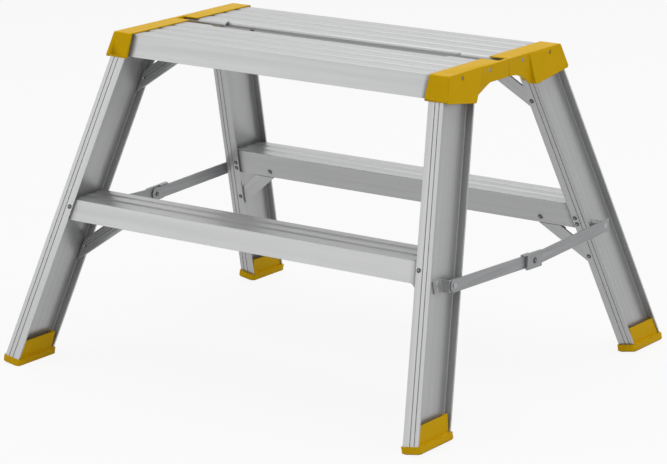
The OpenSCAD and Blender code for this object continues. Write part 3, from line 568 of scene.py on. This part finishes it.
for node in frame["nodes"]:
    if node in LUG_CAPS:
        rounded_copy(node, LUG_CAP_EDGE, MOULDED_SEGMENTS, LUG_CAP_ROOM)
    elif node.endswith(("_cap", "_foot")):
        rounded_copy(node, MOULDED_EDGE, MOULDED_SEGMENTS)
    elif node.endswith(("_brace", "_stay_link", "_stay_bracket")):
        rounded_copy(node, METAL_EDGE, METAL_SEGMENTS)
    elif node.endswith(("_tread_rivets", "_brace_rivets")):
        rivets(node, rivet_steel, rivet_alloy, steel)
    elif node.endswith(("_mid_rivet", "_mid_tail")):
        rivets(node, rivet_steel, rivet_steel, steel)
    elif node.endswith(("_bracket_rivets", "_stay_pivots")):
        rivets(node, bracket_steel_painted_light, bracket_steel_painted_light, steel)
    elif node.endswith("_cap_screws"):
        cross_screws(node)


def add_camera():
    """The photograph's camera, which looks along its azimuth and elevation and is rolled a little."""
    level = math.cos(CAMERA_EL)
    back = Vector((math.sin(CAMERA_AZ) * level, -math.cos(CAMERA_AZ) * level, math.sin(CAMERA_EL)))
    right = Vector((0.0, 0.0, 1.0)).cross(back).normalized()
    up = back.cross(right)
    turned_right = right * math.cos(CAMERA_ROLL) + up * math.sin(CAMERA_ROLL)
    turned_up = up * math.cos(CAMERA_ROLL) - right * math.sin(CAMERA_ROLL)
    camera = bpy.data.objects.new("camera", bpy.data.cameras.new("camera"))
    camera.data.sensor_fit = "HORIZONTAL"
    camera.data.sensor_width = SENSOR_MM
    camera.data.lens = FOCAL_PX * SENSOR_MM / PHOTO_WIDTH_PX
    facing = Matrix((turned_right, turned_up, back)).transposed().to_4x4()
    camera.matrix_world = Matrix.Translation(CAMERA_AT) @ facing
    bpy.context.scene.collection.objects.link(camera)
    bpy.context.scene.camera = camera


def add_area_light(name, place, size, power):
    """A soft rectangular lamp, with its width and height, that faces the middle of the object."""
    lamp = bpy.data.lights.new(name, "AREA")
    lamp.shape = "RECTANGLE"
    lamp.size, lamp.size_y = size
    lamp.energy = power
    light = bpy.data.objects.new(name, lamp)
    light.location = place
    light.rotation_euler = (Vector(place) - Vector(LAMPS_FACE)).to_track_quat("Z", "Y").to_euler()
    bpy.context.scene.collection.objects.link(light)


def white_to_eye(tree):
    """1 for rays that show the background: straight, reflected or through glass."""
    path = tree.nodes.new("ShaderNodeLightPath")
    total = path.outputs["Is Camera Ray"]
    for name in ("Is Glossy Ray", "Is Transmission Ray"):
        either = tree.nodes.new("ShaderNodeMath")
        either.operation = "MAXIMUM"
        tree.links.new(total, either.inputs[0])
        tree.links.new(path.outputs[name], either.inputs[1])
        total = either.outputs[0]
    return total


def add_world():
    """A world that is white to the eye and lights the object a little from all sides."""
    world = bpy.data.worlds.new("studio")
    world.use_nodes = True
    bpy.context.scene.world = world
    tree = world.node_tree
    background = tree.nodes["Background"]
    background.inputs["Color"].default_value = (1.0, 1.0, 1.0, 1.0)
    mix = tree.nodes.new("ShaderNodeMix")
    mix.inputs[2].default_value = WORLD_LIGHT
    mix.inputs[3].default_value = 1.0
    tree.links.new(white_to_eye(tree), mix.inputs[0])
    tree.links.new(mix.outputs[0], background.inputs["Strength"])


def add_floor():
    """A wide pale floor, mostly white to the eye, that keeps a part of the object's shadow."""
    mesh = bpy.data.meshes.new("floor")
    corners = [(x * FLOOR_HALF, y * FLOOR_HALF, 0) for x, y in ((-1, -1), (1, -1), (1, 1), (-1, 1))]
    mesh.from_pydata(corners, [], [(0, 1, 2, 3)])
    floor = bpy.data.objects.new("floor", mesh)
    floor.location.z = -FLOOR_DROP
    bpy.context.scene.collection.objects.link(floor)
    material = bpy.data.materials.new("floor")
    material.use_nodes = True
    tree = material.node_tree
    paper = tree.nodes["Principled BSDF"]
    paper.inputs["Base Color"].default_value = FLOOR_PAPER
    paper.inputs["Roughness"].default_value = 1.0
    paper.inputs["Specular IOR Level"].default_value = 0.0
    glow = tree.nodes.new("ShaderNodeEmission")
    share = tree.nodes.new("ShaderNodeMath")
    share.operation = "MULTIPLY"
    share.inputs[1].default_value = FLOOR_WHITE
    tree.links.new(white_to_eye(tree), share.inputs[0])
    mix = tree.nodes.new("ShaderNodeMixShader")
    tree.links.new(share.outputs[0], mix.inputs[0])
    tree.links.new(paper.outputs[0], mix.inputs[1])
    tree.links.new(glow.outputs[0], mix.inputs[2])
    tree.links.new(mix.outputs[0], tree.nodes["Material Output"].inputs["Surface"])
    mesh.materials.append(material)


add_camera()
add_world()
add_floor()
for name, (place, size, power) in LAMPS.items():
    add_area_light(name, place, size, power)

bpy.context.scene.view_settings.view_transform = "Standard"
